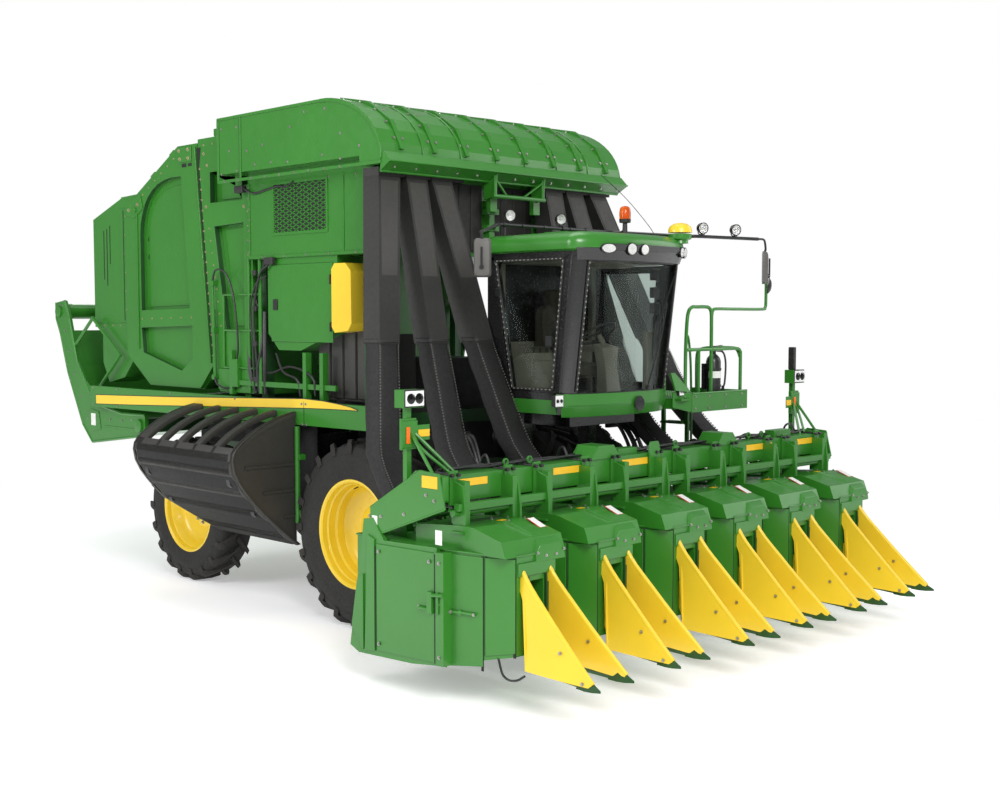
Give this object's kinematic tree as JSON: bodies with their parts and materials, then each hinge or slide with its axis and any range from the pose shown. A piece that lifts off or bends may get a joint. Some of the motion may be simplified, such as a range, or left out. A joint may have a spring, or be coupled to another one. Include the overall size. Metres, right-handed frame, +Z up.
{
  "type": "cotton picker",
  "caption": "Self-propelled cotton harvester with picking header, blower ducts, raised cab, module chamber with lifting gate, rear handler, twin drive wheels and steered rear wheels.",
  "frame": {"origin": "on the ground under the middle of the whole machine's length and width", "axes": "+Z up, the machine drives towards -Y and its load gate opens at +Y, its left side is at +X"},
  "size_m": [6.06, 10.92, 5.4646],
  "materials": {
    "green": "semi-gloss paint",
    "dark_green": "satin paint",
    "yellow": "semi-gloss paint",
    "black_rubber": "matt",
    "tyre": "matt",
    "black_plastic": "textured",
    "grey_iron": "painted casting",
    "glass": "clear",
    "seat_cloth": "woven"
  },
  "bodies": {
    "chassis": {"main_frame": "dark_green", "front_axle": "green", "rear_axle": "green", "engine_block": "grey_iron", "side_beam_right": "green", "side_beam_left": "green", "side_guard_right": "black_plastic", "side_guard_left": "black_plastic", "accumulator_body": "green", "accumulator_hood": "green", "chamber_front": "green", "duct_bank_right": "black_rubber", "duct_bank_left": "black_rubber", "service_box": "green", "wash_tank": "yellow", "intake_box": "black_plastic", "cab_shell": "black_plastic", "cab_roof": "green", "windscreen": "glass", "side_glass_right": "glass", "driver_seat": "seat_cloth", "steering_column": "black_plastic", "roof_bars": "black_plastic", "platform": "green"},
    "front_wheel_right": {"front_tyre_right_outer": "tyre", "front_tyre_right_inner": "tyre", "front_rims_right": "yellow"},
    "front_wheel_left": {"front_tyre_left_outer": "tyre", "front_tyre_left_inner": "tyre", "front_rims_left": "yellow"},
    "steer_knuckle_right": {"knuckle_right": "green"},
    "steer_knuckle_left": {"knuckle_left": "green"},
    "rear_wheel_right": {"rear_tyre_right": "tyre", "rear_rim_right": "yellow"},
    "rear_wheel_left": {"rear_tyre_left": "tyre", "rear_rim_left": "yellow"},
    "header": {"toolbar": "green", "row_unit_1": "green", "row_unit_2": "green", "row_unit_3": "green", "row_unit_4": "green", "row_unit_5": "green", "row_unit_6": "green", "dividers_1": "yellow", "dividers_2": "yellow", "dividers_3": "yellow", "dividers_4": "yellow", "dividers_5": "yellow", "dividers_6": "yellow", "lower_duct_1": "black_rubber", "lower_duct_2": "black_rubber", "lower_duct_3": "black_rubber", "lower_duct_4": "black_rubber", "lower_duct_5": "black_rubber", "lower_duct_6": "black_rubber"},
    "gate": {"rear_gate": "green"},
    "handler": {"module_handler": "green"},
    "door": {"cab_door": "black_plastic", "door_glass": "glass"}
  },
  "joints": [
    {"name": "front_wheel_right_spin", "type": "hinge", "parent": "chassis", "child": "front_wheel_right", "pos_m": [0, -1.32, 0.978], "axis": [1, 0, 0], "continuous": true},
    {"name": "front_wheel_left_spin", "type": "hinge", "parent": "chassis", "child": "front_wheel_left", "pos_m": [0, -1.32, 0.978], "axis": [1, 0, 0], "continuous": true},
    {"name": "steer_right", "type": "hinge", "parent": "chassis", "child": "steer_knuckle_right", "pos_m": [-1, 2.094, 0.872], "axis": [0, 0, 1], "range_deg": [-25, 25]},
    {"name": "steer_left", "type": "hinge", "parent": "chassis", "child": "steer_knuckle_left", "pos_m": [1, 2.094, 0.872], "axis": [0, 0, 1], "range_deg": [-25, 25]},
    {"name": "rear_wheel_right_spin", "type": "hinge", "parent": "steer_knuckle_right", "child": "rear_wheel_right", "pos_m": [-1.4, 2.094, 0.872], "axis": [1, 0, 0], "continuous": true},
    {"name": "rear_wheel_left_spin", "type": "hinge", "parent": "steer_knuckle_left", "child": "rear_wheel_left", "pos_m": [1.4, 2.094, 0.872], "axis": [1, 0, 0], "continuous": true},
    {"name": "header_lift", "type": "hinge", "parent": "chassis", "child": "header", "pos_m": [0, -2.24, 1.36], "axis": [-1, 0, 0], "range_deg": [-5, 10], "deforming": ["lower_duct_1", "lower_duct_2", "lower_duct_3", "lower_duct_4", "lower_duct_5", "lower_duct_6"]},
    {"name": "gate_open", "type": "hinge", "parent": "chassis", "child": "gate", "pos_m": [0, 1.85, 5.41], "axis": [1, 0, 0], "range_deg": [0, 60]},
    {"name": "handler_lower", "type": "hinge", "parent": "chassis", "child": "handler", "pos_m": [0, 3.23, 1.82], "axis": [-1, 0, 0], "range_deg": [0, 45]},
    {"name": "door_swing", "type": "hinge", "parent": "chassis", "child": "door", "pos_m": [0.835, -2.44, 3], "axis": [0, 0, 1], "range_deg": [0, 85]}
  ],
  "couplings": [
    {"joint": "steer_left", "follows": "steer_right", "ratio": 1}
  ]
}
